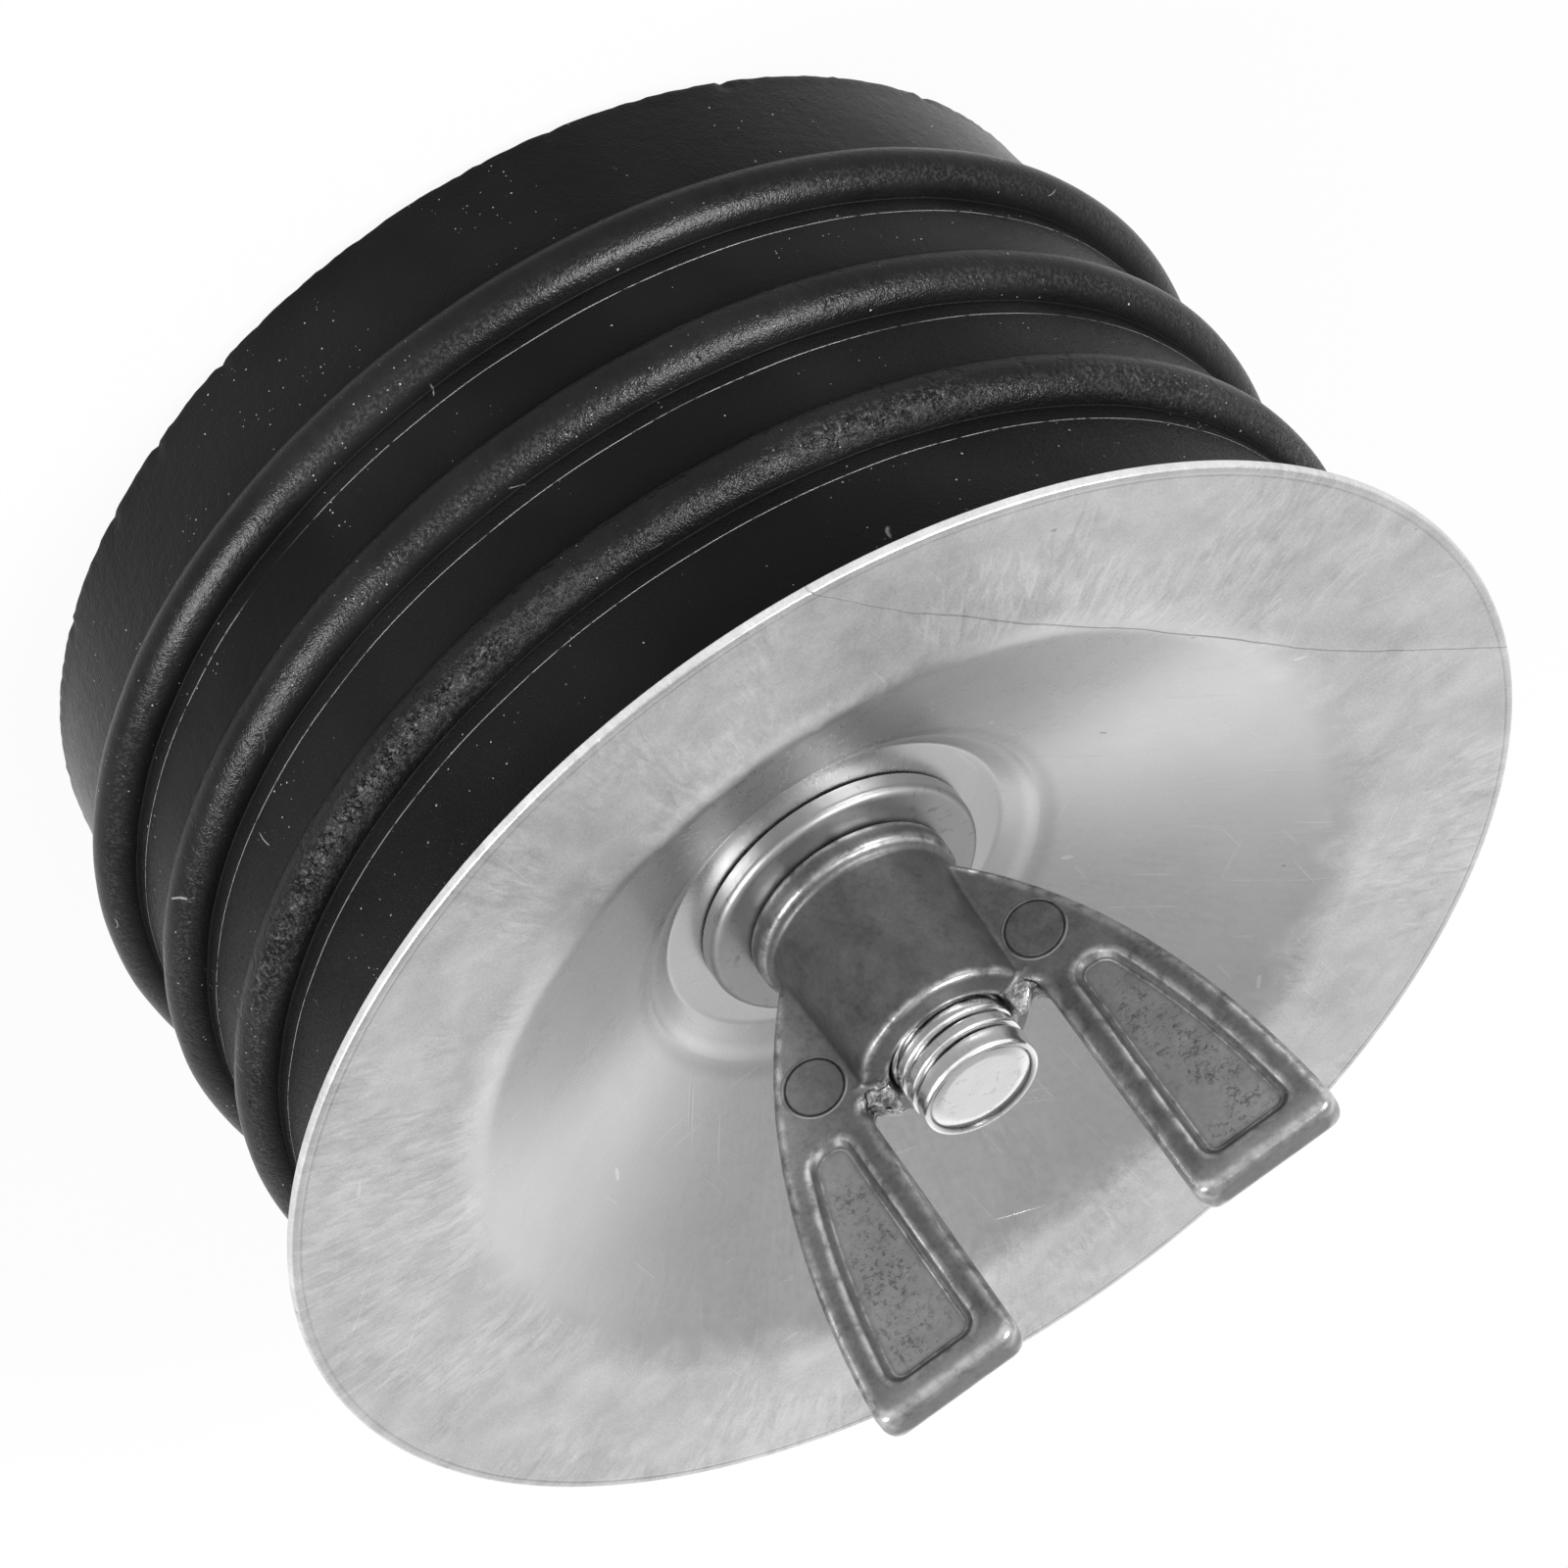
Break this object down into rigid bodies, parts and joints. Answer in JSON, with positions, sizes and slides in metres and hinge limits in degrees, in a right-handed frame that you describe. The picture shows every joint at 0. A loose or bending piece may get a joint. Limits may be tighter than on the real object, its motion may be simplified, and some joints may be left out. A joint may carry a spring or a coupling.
{
  "type": "pipe test plug",
  "caption": "Screw-down test plug: a wing nut draws two dished steel discs together on a carriage bolt, so a ribbed rubber ring swells and seals a drain pipe's end.",
  "frame": {"origin": "on the bolt's axis, in the plane of the rear disc's flange, on which the plug stands", "axes": "+Z along the bolt from the rear disc to the wing nut, +X along the wings, +Y across them"},
  "size_m": [0.106, 0.106, 0.085],
  "materials": {
    "front_sheet": "galvanised sheet, mottled flange and smoother satin dish",
    "rear_sheet": "galvanised sheet, satin",
    "sleeve_rubber": "moulded black rubber, satin with a fine grain",
    "bolt_zinc": "bright zinc plated steel",
    "seal_rubber": "plain black rubber",
    "washer_zinc": "bright zinc plated steel",
    "cast_zinc": "die-cast zinc, dull dark grey with bright worn edges"
  },
  "bodies": {
    "fixed_frame": {"rear_plate": "rear_sheet", "carriage_bolt": "bolt_zinc", "bolt_seal_washer": "seal_rubber", "rubber_sleeve": "sleeve_rubber"},
    "clamp": {"front_plate": "front_sheet", "thrust_washer": "washer_zinc"},
    "nut": {"wing_nut": "cast_zinc"}
  },
  "joints": [
    {"name": "clamp_slide", "type": "slide", "parent": "fixed_frame", "child": "clamp", "axis": [0, 0, 1], "range_m": [-0.006, 0], "deforming": ["rubber_sleeve"]},
    {"name": "nut_spin", "type": "hinge", "parent": "clamp", "child": "nut", "pos_m": [0, 0, 0.0451], "axis": [0, 0, 1], "range_deg": [-1440, 0]}
  ],
  "couplings": [
    {"joint": "nut_spin", "follows": "clamp_slide", "rad_per_m": 4188.8}
  ]
}
